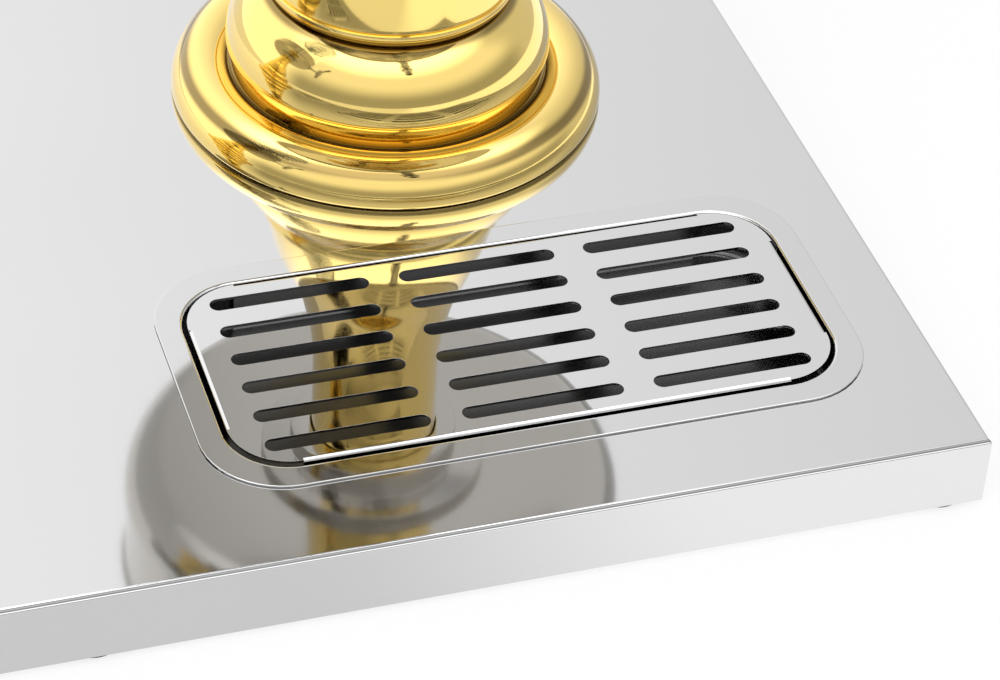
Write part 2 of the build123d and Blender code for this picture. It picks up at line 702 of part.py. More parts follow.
def arc_joint(start, start_way, end, end_way):
    """Where two tangent arcs meet that leave start and arrive at end along the given directions."""
    chord = end - start
    lean = chord.dot(start_way + end_way)
    spread = 2 * (1 - start_way.dot(end_way))
    reach = (math.sqrt(lean**2 + spread * chord.dot(chord)) - lean) / spread
    return (start + end + (start_way - end_way) * reach) / 2


def bent_wire(section, start, way, end):
    """An arc of wire from a section at start to end, and its section and direction there."""
    chord = end - start
    axis_way = way.cross(chord).normalized()
    side = axis_way.cross(way)
    axis = Axis(start + side * (chord.dot(chord) / (2 * chord.dot(side))), axis_way)
    angle = 2 * way.get_angle(chord)
    onward = chord * (2 * chord.dot(way) / chord.dot(chord)) - way
    return revolve(section, axis, angle), section.rotate(axis, angle), onward


def tap_spring():
    """One unbroken wire wound round the stem, between its collar and the bonnet."""
    room = BONNET_PLUG_BOTTOM - STEM_COLLAR_TOP - 2 * (SPRING_WIRE + 2 * SEAT)
    rise = room / SPRING_TURNS
    places = [half / 2 for half in range(2 * SPRING_TURNS + 1)]
    point = helix_point(0, rise)
    way = helix_tangent(0, rise)
    section = (Plane(origin=point, z_dir=way) * RegularPolygon(SPRING_WIRE, SPRING_SIDES)).face()
    arcs = []
    for turn in places[1:]:
        end = helix_point(turn, rise)
        joint = arc_joint(point, way, end, helix_tangent(turn, rise))
        for stop in (joint, end):
            arc, section, way = bent_wire(section, point, way, stop)
            arcs.append(arc)
            point = stop
    wire = arcs[0].fuse(*arcs[1:])
    print("least gap between spring turns", round(least_gap(rise), 2))
    return Pos(0, 0, STEM_COLLAR_TOP + SPRING_WIRE + 2 * SEAT) * wire


def tap_lever():
    """Hub, fork and leaning arm in one piece, drawn about the pin."""
    lever = Rot(0, HALF_TURN / 2, 0) * Cylinder(LEVER_HUB_RADIUS, LEVER_WIDTH)
    fork = slab(LEVER_WIDTH, FORK_REACH, FORK_THICKNESS, FORK_TOP - FORK_THICKNESS)
    lever += Pos(0, FORK_REACH / 2, 0) * fork
    slot = slab(FORK_SLOT, FORK_REACH, 2 * FORK_THICKNESS, -FORK_THICKNESS)
    lever -= Pos(0, FORK_THROAT + FORK_REACH / 2, 0) * slot
    lever += Rot(ARM_LEAN, 0, 0) * post(ARM_RADIUS, ARM_LENGTH)
    pin_hole = Rot(0, HALF_TURN / 2, 0) * Cylinder(PIN_RADIUS + FIT, 2 * LEVER_WIDTH)
    return Pos(0, -PIN_AHEAD, PIN_Z) * (lever - pin_hole)


def lever_grip():
    """A plain dark grip that widens to its end, pushed on the arm."""
    socket = ARM_LENGTH - GRIP_START + SEAT
    outline = Polyline(
        (GRIP_NECK_RADIUS, 0),
        (GRIP_RADIUS, GRIP_LENGTH - GRIP_CAP),
        (GRIP_RADIUS - GRIP_CAP / 2, GRIP_LENGTH),
        (0, GRIP_LENGTH),
        (0, socket),
        (ARM_RADIUS + FIT, socket),
        (ARM_RADIUS + FIT, 0),
        (GRIP_NECK_RADIUS, 0),
    )
    grip = Rot(ARM_LEAN, 0, 0) * Pos(0, 0, GRIP_START) * turned(outline)
    return Pos(0, -PIN_AHEAD, PIN_Z) * grip


def write(name, pieces):
    group = Compound(children=pieces)
    export_step(group, "parts/" + name + ".step")


# One builder for each sub-part that both stations have, by the place it is drawn at
AT_TRAY = {
    "drip_pan": drip_pan,
    "drip_grille": drip_grille,
    "tap_body": tap_body,
    "tap_spout": tap_spout,
    "tap_outer_gasket": tap_outer_gasket,
    "tap_inner_gasket": tap_inner_gasket,
    "tap_bonnet": tap_bonnet,
    "tap_stem": tap_stem,
    "tap_seal": tap_seal,
    "tap_spring": tap_spring,
    "tap_lever": tap_lever,
    "lever_grip": lever_grip,
}
AT_PEDESTAL = {
    "pedestal_ring": pedestal_ring,
    "pedestal_dome": pedestal_dome,
    "pedestal_collar": pedestal_collar,
    "pedestal_column": pedestal_column,
    "column_hub": column_hub,
    "tank_cup": tank_cup,
    "tank_seat_gasket": tank_seat_gasket,
    "tank": tank,
    "clamp_seal": clamp_seal,
    "lid": lid,
    "ice_tube": ice_tube,
    "ice_cap": ice_cap,
    "cap_knob": cap_knob,
    "knob_screw": knob_screw,
}

# Sub-parts of both stations that share one file
SHARED = ["tie_rods", "backing_plates", "tie_rod_nuts", "tie_rod_washers", "tap_nuts", "lever_pins"]


def main():
    os.makedirs("parts", exist_ok=True)
    write("base_shell", [base_shell()])
    write("rubber_pads", rubber_pads())
    shared = {name: [] for name in SHARED}
    for name, side in SIDES.items():
        tray = Pos(side * STATION_PITCH / 2, TRAY_Y, 0)
        pedestal = Pos(side * STATION_PITCH / 2, PEDESTAL_Y, 0)
        for piece, make in AT_TRAY.items():
            write(piece + "_" + name, [tray * make()])
        for piece, make in AT_PEDESTAL.items():
            write(piece + "_" + name, [pedestal * make()])
        shared["tie_rods"].append(pedestal * tie_rod())
        shared["backing_plates"].append(pedestal * backing_plate())
        shared["tie_rod_nuts"] += [pedestal * nut for nut in tie_rod_nuts()]
        shared["tie_rod_washers"] += [pedestal * washer for washer in tie_rod_washers()]
        shared["tap_nuts"].append(tray * tap_nut())
        shared["lever_pins"].append(tray * lever_pin())
    for name, pieces in shared.items():
        write(name, pieces)


main()
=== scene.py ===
import bmesh
import bpy
import json
import math
from mathutils import Matrix, Vector


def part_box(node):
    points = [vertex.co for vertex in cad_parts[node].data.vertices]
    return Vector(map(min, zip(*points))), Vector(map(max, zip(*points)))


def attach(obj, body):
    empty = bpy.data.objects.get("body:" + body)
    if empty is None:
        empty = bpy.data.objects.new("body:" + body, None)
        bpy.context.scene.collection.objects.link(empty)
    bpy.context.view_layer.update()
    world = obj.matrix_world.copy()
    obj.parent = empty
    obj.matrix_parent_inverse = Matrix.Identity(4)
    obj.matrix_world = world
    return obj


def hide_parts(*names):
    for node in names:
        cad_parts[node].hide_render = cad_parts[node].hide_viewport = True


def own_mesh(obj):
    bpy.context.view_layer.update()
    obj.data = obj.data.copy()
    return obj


# The twin juice dispenser's finished pieces, finishes, room and camera, made round the fixed frame.
# Lengths are written in millimetres, and MM turns them to the metres of the meshes.

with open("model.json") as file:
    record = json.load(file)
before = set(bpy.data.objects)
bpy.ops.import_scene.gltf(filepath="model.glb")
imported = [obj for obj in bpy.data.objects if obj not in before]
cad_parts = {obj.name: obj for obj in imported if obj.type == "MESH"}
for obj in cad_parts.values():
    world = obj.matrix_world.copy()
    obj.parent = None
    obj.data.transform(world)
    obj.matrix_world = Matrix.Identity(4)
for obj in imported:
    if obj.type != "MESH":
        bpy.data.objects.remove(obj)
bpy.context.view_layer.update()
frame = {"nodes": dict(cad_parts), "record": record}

MM = 0.001
WELD = MM / 1000
FLAT_ANGLE = math.radians(0.4)
SHARP_ANGLE = math.radians(32)
BEVEL_ANGLE = math.radians(38)
TURNING_STEPS = 192
TURNING_RADIUS = 30.0
ROD_HOLE = 5.5
RECORD = frame["record"]
BODY_OF = {node: body for body, nodes in RECORD["behaviour"]["bodies"].items() for node in nodes}
SLOT_OF = {part["node"]: part["material_slot"] for part in RECORD["subparts"]}
SLIDES = {joint["child"]: joint for joint in RECORD["behaviour"]["joints"] if "range_m" in joint}


# Node trees

class Wire:
    """A socket of a node tree that can be used in sums like a number."""

    def __init__(self, nodes, socket):
        self.nodes = nodes
        self.socket = socket

    def sum(self, operation, *terms):
        return self.nodes.add("ShaderNodeMath", {"operation": operation}, dict(enumerate(terms)))

    def __add__(self, other):
        return self.sum("ADD", self, other)

    def __radd__(self, other):
        return self.sum("ADD", other, self)

    def __sub__(self, other):
        return self.sum("SUBTRACT", self, other)

    def __rsub__(self, other):
        return self.sum("SUBTRACT", other, self)

    def __mul__(self, other):
        return self.sum("MULTIPLY", self, other)

    def __rmul__(self, other):
        return self.sum("MULTIPLY", other, self)

    def __abs__(self):
        return self.sum("ABSOLUTE", self)

    def around(self, width):
        """A noise's 0 to 1 spread over the given width round zero."""
        return (self - 0.5) * width

    def within(self, low, high):
        return self.nodes.add("ShaderNodeClamp", {}, {"Value": self, "Min": low, "Max": high})

    def fade(self, start, end):
        """0 before start, 1 after end and a smooth step between them."""
        sockets = {"Value": self, "From Min": start, "From Max": end}
        return self.nodes.add("ShaderNodeMapRange", {"interpolation_type": "SMOOTHSTEP"}, sockets)


class Nodes:
    """A node tree that is built up from its inputs, each node by the same method."""

    def __init__(self, tree):
        self.tree = tree
        tree.nodes.clear()

    def add(self, kind, settings=None, sockets=None, output=0):
        """A node of the given kind: its settings first, then its sockets' values or links."""
        node = self.tree.nodes.new(kind)
        for name, value in (settings or {}).items():
            setattr(node, name, value)
        for name, value in (sockets or {}).items():
            for item in value if isinstance(value, list) else [value]:
                if isinstance(item, Wire):
                    self.tree.links.new(item.socket, node.inputs[name])
                else:
                    node.inputs[name].default_value = item
        return Wire(self, node.outputs[output]) if len(node.outputs) else node

    def ray(self, kind):
        """1 on the rays of the given kind, and 0 on the others."""
        return self.add("ShaderNodeLightPath", output=f"Is {kind} Ray")


class Finish(Nodes):
    """A material laid out on the object's own coordinates."""

    def __init__(self, name):
        self.material = bpy.data.materials.new(name)
        self.material.use_nodes = True
        super().__init__(self.material.node_tree)
        self.place = self.add("ShaderNodeTexCoord", output="Object")

    def noise(self, scale, detail, stretch=(1, 1, 1)):
        where = self.add("ShaderNodeMapping", {}, {"Vector": self.place, "Scale": stretch})
        return self.add("ShaderNodeTexNoise", {}, {"Vector": where, "Scale": scale, "Detail": detail})

    def axis(self, name):
        return self.add("ShaderNodeSeparateXYZ", {}, {"Vector": self.place}, name)

    def tint(self, factor, start, end):
        """Two colours mixed by a factor; 6, 7 and 2 are the colour sockets of the Mix node."""
        ends = [colour if isinstance(colour, Wire) else (*colour, 1) for colour in (start, end)]
        mixed = {0: factor, 6: ends[0], 7: ends[1]}
        return self.add("ShaderNodeMix", {"data_type": "RGBA"}, mixed, 2)

    def relief(self, height, depth, strength=1.0):
        return self.add("ShaderNodeBump", {}, {"Height": height, "Distance": depth, "Strength": strength})

    def close(self, sockets):
        surface = self.add("ShaderNodeBsdfPrincipled", {}, sockets)
        self.add("ShaderNodeOutputMaterial", {}, {"Surface": surface})
        return self.material


class Bench(Nodes):
    """A Geometry Nodes tree with named inputs, run once on an object to make a plain mesh."""

    KINDS = {int: "NodeSocketInt", float: "NodeSocketFloat", bpy.types.Material: "NodeSocketMaterial"}

    def __init__(self, name, inputs):
        tree = bpy.data.node_groups.new(name, "GeometryNodeTree")
        super().__init__(tree)
        tree.interface.new_socket("Geometry", in_out="INPUT", socket_type="NodeSocketGeometry")
        for label, kind in inputs.items():
            tree.interface.new_socket(label, in_out="INPUT", socket_type=self.KINDS[kind])
        tree.interface.new_socket("Geometry", in_out="OUTPUT", socket_type="NodeSocketGeometry")
        self.given = self.add("NodeGroupInput").socket.node

    def __getitem__(self, label):
        return Wire(self, self.given.outputs[label])

    def close(self, geometry):
        whole = self.add("GeometryNodeRealizeInstances", {}, {"Geometry": geometry})
        sockets = {"Geometry": whole, "Material": self["Material"]}
        self.add("NodeGroupOutput", {}, {"Geometry": self.add("GeometryNodeSetMaterial", {}, sockets)})

    def run(self, start, name, values):
        """The plain mesh object that the tree makes from the start object."""
        modifier = start.modifiers.new("make", "NODES")
        modifier.node_group = self.tree
        for item in self.tree.interface.items_tree:
            if item.in_out == "INPUT" and item.name in values:
                modifier[item.identifier] = values[item.name]
        return plain(start, name)


# Meshes

def show(name, data):
    made = bpy.data.objects.new(name, data)
    bpy.context.scene.collection.objects.link(made)
    return made


def plain(made, name):
    """A plain mesh object of what an object's modifiers make; the object itself goes."""
    bpy.context.view_layer.update()
    evaluated = made.evaluated_get(bpy.context.evaluated_depsgraph_get())
    mesh = bpy.data.meshes.new_from_object(evaluated)
    mesh.name = name
    bpy.data.objects.remove(made)
    return show(name, mesh)


def outwards(mesh):
    """Turns a closed mesh's faces outwards."""
    shape = bmesh.new()
    shape.from_mesh(mesh)
    bmesh.ops.remove_doubles(shape, verts=shape.verts, dist=WELD)
    bmesh.ops.recalc_face_normals(shape, faces=shape.faces)
    if shape.calc_volume(signed=True) < 0:
        bmesh.ops.reverse_faces(shape, faces=shape.faces)
    shape.to_mesh(mesh)
    shape.free()


def smooth(mesh):
    """Shades a mesh smooth, except over its sharp edges."""
    mesh.polygons.foreach_set("use_smooth", [True] * len(mesh.polygons))
    mesh.set_sharp_from_angle(angle=SHARP_ANGLE)


def seat(made, node, finish):
    """The finished piece takes the place of its CAD node, on the same body."""
    made.data.materials.clear()
    made.data.materials.append(finish)
    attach(made, BODY_OF[node])
    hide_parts(node)
    return made


def filed(node, mesh, finish, edge):
    """A node's finished piece from a sharp mesh: its triangles joined and its sharp edges eased."""
    shape = bmesh.new()
    shape.from_mesh(mesh)
    bmesh.ops.remove_doubles(shape, verts=shape.verts, dist=2 * WELD)
    bmesh.ops.dissolve_limit(shape, angle_limit=FLAT_ANGLE, verts=shape.verts, edges=shape.edges)
    shape.to_mesh(mesh)
    shape.free()
    rough = show(node + "_rough", mesh)
    smooth(mesh)
    bevel = rough.modifiers.new("edge", "BEVEL")
    bevel.width = edge * MM
    bevel.segments = 2
    bevel.limit_method = "ANGLE"
    bevel.angle_limit = BEVEL_ANGLE
    rough.modifiers.new("flats", "WEIGHTED_NORMAL")
    return seat(plain(rough, node + "_piece"), node, finish)


def softened(node, finish, edge):
    """A copy of a CAD piece with its sharp edges eased."""
    return filed(node, frame["nodes"][node].data.copy(), finish, edge)


# Outlines of turned pieces, as complex numbers: radius + height * 1j, in millimetres

def bow(start, way, end, steps):
    """Points of an arc that leaves start along way and ends at end, start left out."""
    way /= abs(way)
    chord = end - start
    half = math.atan2((chord / way).imag, (chord / way).real)
    points = []
    for step in range(1, steps + 1):
        share = step / steps
        reach = abs(chord) * math.sin(half * share) / math.sin(half)
        turn = complex(math.cos(half * share), math.sin(half * share))
        points.append(start + way * turn * reach)
    return points


def onward(start, way, end):
    """The direction in which an arc that leaves start along way arrives at end."""
    chord = (end - start) / abs(end - start)
    return chord * chord / (way / abs(way))


def eased(points, radius):
    """The closed outline with each sharp corner off the axis rounded."""
    slight, axis, share = 0.3, 0.001, 0.45
    result = []
    for i, here in enumerate(points):
        before, after = here - points[i - 1], points[(i + 1) % len(points)] - here
        turn = abs(math.atan2((after / before).imag, (after / before).real))
        if turn < slight or here.real < axis:
            result.append(here)
            continue
        cut = min(radius * math.tan(turn / 2), share * abs(before), share * abs(after))
        first, last = here - before / abs(before) * cut, here + after / abs(after) * cut
        result += [first] + bow(first, before, last, 4)
    return result


def turning():
    """The lathe: an outline swept round a circle."""
    bench = Bench("turning", {"Radius": float, "Steps": int, "Material": bpy.types.Material})
    circle = {"Resolution": bench["Steps"], "Radius": bench["Radius"]}
    path = bench.add("GeometryNodeCurvePrimitiveCircle", {}, circle)
    swept = bench.add("GeometryNodeCurveToMesh", {}, {"Curve": path, "Profile Curve": bench["Geometry"]})
    closed = bench.add("GeometryNodeMergeByDistance", {}, {"Geometry": swept, "Distance": WELD})
    bench.close(closed)
    return bench


LATHE = turning()


def drawn(name, points):
    """A closed curve object through flat points, given as complex numbers in millimetres."""
    curve = bpy.data.curves.new(name, "CURVE")
    curve.dimensions = "3D"
    spline = curve.splines.new("POLY")
    spline.points.add(len(points) - 1)
    for point, place in zip(spline.points, points):
        point.co = (place.real * MM, place.imag * MM, 0, 1)
    spline.use_cyclic_u = True
    return show(name, curve)


def turned(node, points, finish, ease):
    """A turned piece in place of its CAD node, from an outline above the node's lowest point."""
    low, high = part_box(node)
    outline = [(place - TURNING_RADIUS).conjugate() for place in eased(points, ease)]
    values = {"Radius": TURNING_RADIUS * MM, "Steps": TURNING_STEPS, "Material": finish}
    made = LATHE.run(drawn(node + "_outline", outline), node + "_piece", values)
    middle = (low + high) / 2
    made.data.transform(Matrix.Translation((middle.x, middle.y, low.z)))
    outwards(made.data)
    smooth(made.data)
    return seat(made, node, finish)


# Finishes

def grey(level):
    return level, level, level


def polished_steel(name, colour, rough, haze, lines):
    """Stainless sheet polished to a mirror, with faint lines, haze and a little waviness."""
    steel = Finish(name)
    cloud = steel.noise(scale=11, detail=4)
    grain = steel.noise(scale=1, detail=2, stretch=lines)
    swell = steel.noise(scale=16, detail=1)
    dull = cloud.around(haze) + grain.around(haze) * 0.6
    darker, brighter = 0.985, 1.012
    return steel.close({
        "Base Color": steel.tint(cloud, [c * darker for c in colour], [c * brighter for c in colour]),
        "Metallic": 1.0,
        "Roughness": (dull + rough).within(0.005, 0.9),
        "Normal": steel.relief(swell * 0.004 + grain * 0.00025, MM),
    })


def base_steel():
    """The base's sheet: a mirror polish with long faint lines, and a line scored along the front fold whose
    dark colour is painted shade.
    """
    steel = Finish("base_sheet_steel")
    low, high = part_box("base_shell")
    score_width, score_inset, score_reach, score_end = 0.55 * MM, 0.75 * MM, 2.5 * MM, 0.2 * MM
    score_depth, painted_score_shade, rough = 0.2, grey(0.20), 0.05
    away = abs(steel.axis("Y") - (low.y + score_inset))
    start = high.z - score_reach
    score_and_painted_shade = (1 - away.fade(score_width / 2, score_width)) * steel.axis("Z").fade(start, start + score_end)
    cloud = steel.noise(scale=11, detail=4)
    grain = steel.noise(scale=1, detail=2, stretch=(900, 5, 900))
    swell = steel.noise(scale=9, detail=1)
    polish = steel.tint(cloud, (0.625, 0.625, 0.63), (0.645, 0.645, 0.65))
    return steel.close({
        # the scored line's dark grey is painted shade in the fold's crease; only its dip in the relief is a
        # real groove
        "Base Color": steel.tint(score_and_painted_shade, polish, painted_score_shade),
        "Metallic": 1.0,
        "Roughness": (cloud.around(0.03) + grain.around(0.02) + rough).within(0.01, 0.9),
        "Normal": steel.relief(swell * 0.006 + grain * 0.0002 - score_and_painted_shade * score_depth, MM),
    })


def pan_steel():
    """The drip pan: a bright flange, and a well left dull, its colour darkening with depth as painted
    shade.
    """
    steel = Finish("drip_pan_steel")
    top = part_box("drip_pan_right")[1].z
    dull_shade_start, dull_shade_end, dull_rough, rough = 3.0 * MM, 6.5 * MM, 0.22, 0.04
    dull = 1 - steel.axis("Z").fade(top - dull_shade_end, top - dull_shade_start)
    cloud = steel.noise(scale=14, detail=4)
    bright = steel.tint(cloud, grey(0.605), grey(0.63))
    return steel.close({
        # the well's colour fades to dark grey with depth as painted shade; its rising roughness is real
        "Base Color": steel.tint(dull, bright, grey(0.14)),
        "Metallic": 1.0,
        "Roughness": cloud.around(0.02) + dull * dull_rough + rough,
        "Normal": steel.relief(steel.noise(scale=16, detail=1) * 0.004, MM),
    })


def gold_plate():
    """Bright gold plating with soft polishing rings and a clear lacquer, with shade painted dark into the
    pedestal's joints.
    """
    gold = Finish("bright_gold_plating")
    joint_shade_core, joint_shade_edge, joint_shade_share, rough = 0.5 * MM, 1.8 * MM, 0.85, 0.065
    # a dark band painted at the foot of each pedestal part stands for the shade in its joint
    painted_joint_shade = 0
    for part in ("pedestal_ring_right", "pedestal_dome_right", "pedestal_collar_right"):
        away = abs(gold.axis("Z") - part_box(part)[0].z)
        painted_joint_shade = 1 - away.fade(joint_shade_core, joint_shade_edge) + painted_joint_shade
    cloud = gold.noise(scale=18, detail=3)
    rings = gold.noise(scale=1, detail=2, stretch=(30, 30, 2200))
    shade = gold.tint(cloud, (0.91, 0.665, 0.185), (0.94, 0.70, 0.22))
    height = gold.noise(scale=22, detail=1) * 0.004 + rings * 0.0002
    return gold.close({
        "Base Color": gold.tint(painted_joint_shade * joint_shade_share, shade, (0.16, 0.10, 0.02)),
        "Metallic": 1.0,
        "Roughness": cloud.around(0.02) + rings.around(0.01) + rough,
        "Coat Weight": 0.6,
        "Coat Roughness": 0.03,
        "Normal": gold.relief(height, MM),
    })


def plain_steel():
    """Zinc-grey steel with the marks of the lathe."""
    metal = Finish("turned_zinc_steel")
    cloud = metal.noise(scale=60, detail=4)
    lines = metal.noise(scale=1, detail=3, stretch=(500, 500, 4000))
    return metal.close({
        "Base Color": metal.tint(cloud, (0.50, 0.51, 0.52), (0.60, 0.61, 0.62)),
        "Metallic": 1.0,
        "Roughness": lines * 0.15 + 0.22,
        "Normal": metal.relief(lines, 0.02 * MM, 0.6),
    })


def soft_rubber(name, dark, light, rough):
    """Matt rubber with a fine moulded grain."""
    rubber = Finish(name)
    grain = rubber.noise(scale=900, detail=3)
    cloud = rubber.noise(scale=45, detail=3)
    return rubber.close({
        "Base Color": rubber.tint(cloud, dark, light),
        "Roughness": grain * 0.15 + rough,
        "Normal": rubber.relief(grain, 0.06 * MM, 0.7),
    })


def clear_plastic():
    """Moulded clear plastic with faint handling haze and flow waves."""
    clear = Finish("clear_moulded_plastic")
    cloud = clear.noise(scale=13, detail=4)
    wave = clear.noise(scale=9, detail=1, stretch=(1, 1, 0.3))
    return clear.close({
        "Base Color": clear.tint(cloud, (0.955, 0.975, 0.975), (0.985, 0.995, 0.995)),
        "Roughness": cloud.fade(0.45, 0.9) * 0.05 + 0.012,
        "IOR": 1.49,
        "Transmission Weight": 1.0,
        "Normal": clear.relief(wave, 0.05 * MM, 0.5),
    })


def black_plastic():
    """The lever grips' glossy black moulding."""
    grip = Finish("black_moulded_plastic")
    grain = grip.noise(scale=1400, detail=2)
    cloud = grip.noise(scale=70, detail=3)
    return grip.close({
        "Base Color": grip.tint(cloud, (0.012, 0.012, 0.013), (0.022, 0.022, 0.023)),
        "Roughness": cloud * 0.1 + 0.2,
        "Normal": grip.relief(grain, 0.01 * MM, 0.5),
    })


LONG_LINES, FINE_RINGS, TAP_LINES = (6, 900, 900), (30, 30, 900), (400, 400, 60)
TAP_NICKEL = polished_steel("dark_nickel_plating", (0.40, 0.40, 0.41), 0.10, 0.03, TAP_LINES)
LID_STEEL = polished_steel("polished_steel", (0.80, 0.80, 0.81), 0.05, 0.02, LONG_LINES)
GRILLE_STEEL = polished_steel("drip_grille_steel", (0.64, 0.64, 0.645), 0.018, 0.012, LONG_LINES)
CUP_STEEL = polished_steel("tank_cup_steel", (0.46, 0.44, 0.405), 0.09, 0.04, FINE_RINGS)
BASE_STEEL = base_steel()
PAN_STEEL = pan_steel()
GOLD = gold_plate()
RUBBER = soft_rubber("black_rubber", grey(0.018), (0.035, 0.034, 0.033), 0.6)
CLEAR_PLASTIC = clear_plastic()
FINISHES = {
    "polished_steel": LID_STEEL,
    "gold_plate": GOLD,
    "chrome_tap": TAP_NICKEL,
    "plain_steel": plain_steel(),
    "rubber": RUBBER,
    "silicone": soft_rubber("milky_silicone", (0.70, 0.70, 0.68), (0.80, 0.80, 0.78), 0.35),
    "clear_plastic": CLEAR_PLASTIC,
    "black_plastic": black_plastic(),
}


# Base

softened("base_shell", BASE_STEEL, edge=0.4)
softened("rubber_pads", RUBBER, edge=0.5)


# Drip grilles: a blank punched with rows of slots, then folded down along its four straight edges

def punching():
    """The punch: a flat outline filled as sheet, with round-ended slots in rows and columns."""
    sizes = dict.fromkeys(("Slot length", "Slot width", "Pitch across", "Pitch along", "Sheet"), float)
    bench = Bench("punching", {**sizes, "Columns": int, "Rows": int, "Material": bpy.types.Material})
    bar = {"Width": bench["Slot length"], "Height": bench["Slot width"]}
    slot = bench.add("GeometryNodeCurvePrimitiveQuadrilateral", {}, bar)
    nearly_half = 0.4999  # so that the two arcs of an end don't quite meet
    ends = {"Curve": slot, "Count": 10, "Radius": bench["Slot width"] * nearly_half}
    slot = bench.add("GeometryNodeFilletCurve", {"mode": "POLY"}, ends)
    grid = bench.add("GeometryNodeMeshGrid", {}, {
        "Size X": (bench["Columns"] - 1) * bench["Pitch across"],
        "Size Y": (bench["Rows"] - 1) * bench["Pitch along"],
        "Vertices X": bench["Columns"],
        "Vertices Y": bench["Rows"],
    })
    slots = bench.add("GeometryNodeInstanceOnPoints", {}, {"Points": grid, "Instance": slot})
    slots = bench.add("GeometryNodeRealizeInstances", {}, {"Geometry": slots})
    lines = bench.add("GeometryNodeJoinGeometry", {}, {"Geometry": [bench["Geometry"], slots]})
    under = bench.add("GeometryNodeFillCurve", {"mode": "TRIANGLES"}, {"Curve": lines})
    rise = {"Mesh": under, "Offset": (0, 0, 1), "Offset Scale": bench["Sheet"], "Individual": False}
    sheet = bench.add("GeometryNodeExtrudeMesh", {"mode": "FACES"}, rise)
    under = bench.add("GeometryNodeFlipFaces", {}, {"Mesh": under})
    both = bench.add("GeometryNodeJoinGeometry", {}, {"Geometry": [sheet, under]})
    bench.close(bench.add("GeometryNodeMergeByDistance", {}, {"Geometry": both, "Distance": WELD}))
    return bench


PUNCH = punching()


def folded(mesh, bend, drop):
    """Folds the sheet's four straight edges down."""
    steps, square_on = 8, 0.99
    shape = bmesh.new()
    shape.from_mesh(mesh)
    edges = {}
    for way in ((1, 0, 0), (-1, 0, 0), (0, 1, 0), (0, -1, 0)):
        sides = [face for face in shape.faces if face.normal.dot(Vector(way)) > square_on]
        edges[way] = max(sides, key=lambda side: side.calc_area())
    for way, face in edges.items():
        centre = face.calc_center_median()
        centre.z = max(vert.co.z for vert in face.verts) - bend
        turn = Matrix.Rotation(math.pi / 2 / steps, 3, Vector((0, 0, 1)).cross(Vector(way)))
        for step in range(steps):
            face = bmesh.ops.extrude_discrete_faces(shape, faces=[face])["faces"][0]
            bmesh.ops.rotate(shape, cent=centre, matrix=turn, verts=face.verts)
        face = bmesh.ops.extrude_discrete_faces(shape, faces=[face])["faces"][0]
        bmesh.ops.translate(shape, vec=(0, 0, bend - drop), verts=face.verts)
    shape.to_mesh(mesh)
    shape.free()


def drip_grille(node):
    low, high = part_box(node)
    size = (high - low) / MM
    corner, bend, sheet = 20.0, 1.3, 1.0
    reach_x, reach_y = size.x / 2, size.y / 2
    outline = []
    for quarter in range(4):
        side, end = (reach_x, reach_y) if quarter % 2 == 0 else (reach_y, reach_x)
        start, stop = complex(side, end - corner), complex(side - corner, end)
        points = [start - bend, start] + bow(start, 1j, stop, 14) + [stop - bend * 1j]
        outline += [point * 1j ** quarter for point in points]
    blank = PUNCH.run(drawn(node + "_outline", outline), node + "_blank", {
        "Slot length": 54.5 * MM,
        "Slot width": 6.1 * MM,
        "Pitch across": 65.0 * MM,
        "Pitch along": 14.5 * MM,
        "Sheet": sheet * MM,
        "Columns": 3,
        "Rows": 6,
        "Material": GRILLE_STEEL,
    })
    mesh = blank.data
    bpy.data.objects.remove(blank)
    outwards(mesh)
    folded(mesh, bend * MM, size.z * MM)
    middle = (low + high) / 2
    mesh.transform(Matrix.Translation((middle.x, middle.y, high.z - sheet * MM)))
    filed(node, mesh, GRILLE_STEEL, edge=0.25)


# Drip pans: one loft through rounded rectangles, over the well and the flange and back underneath

PAN_FLANGE = 8.5
PAN_SHEET = 0.8


def rounded_loop(width, depth, corner, height):
    steps = 12
    points = []
    for side_x, side_y, first in ((1, 1, 0), (-1, 1, 90), (-1, -1, 180), (1, -1, 270)):
        for step in range(steps + 1):
            angle = math.radians(first + 90 * step / steps)
            x = side_x * (width / 2 - corner) + corner * math.cos(angle)
            y = side_y * (depth / 2 - corner) + corner * math.sin(angle)
            points.append((x, y, height))
    return points


def loft(name, loops):
    """A mesh through loops with the same number of points, closed at both ends."""
    count = len(loops[0])
    verts = [point for loop in loops for point in loop]
    faces = []
    for k in range(len(loops) - 1):
        for i in range(count):
            j = (i + 1) % count
            a = k * count
            faces.append((a + i, a + j, a + count + j, a + count + i))
    faces.append(tuple(range(count)))
    faces.append(tuple(range(len(verts) - count, len(verts))))
    mesh = bpy.data.meshes.new(name)
    mesh.from_pydata(verts, [], faces)
    return mesh


def pan_path():
    """The pan's two sides from its edge inwards, as inset from the edge + height above the base * 1j."""
    flange, sheet, drop, bend, toe, edge = PAN_FLANGE, PAN_SHEET, 17.0, 0.9, 4.0, 0.2
    lip, crest = complex(0, sheet - edge), complex(edge, sheet)
    rim, mouth = complex(flange - bend, sheet), complex(flange, sheet - bend)
    heel, floor = complex(flange, sheet - drop + toe), complex(flange + toe, sheet - drop)
    top = [complex(0, sheet / 2), lip] + bow(lip, 1j, crest, 3)
    top += [complex(edge + edge, sheet), rim - edge, rim] + bow(rim, 1, mouth, 6)
    top += [heel] + bow(heel, -1j, floor, 8)
    outside = flange - sheet
    start, shoulder = complex(outside - bend, 0), complex(outside, -bend)
    heel = complex(outside, heel.imag)
    under = [complex(edge * 2, sheet / 2), complex(edge * 2, 0), start] + bow(start, 1, shoulder, 5)
    under += [heel] + bow(heel, -1j, floor - sheet * 1j, 8)
    return top, under


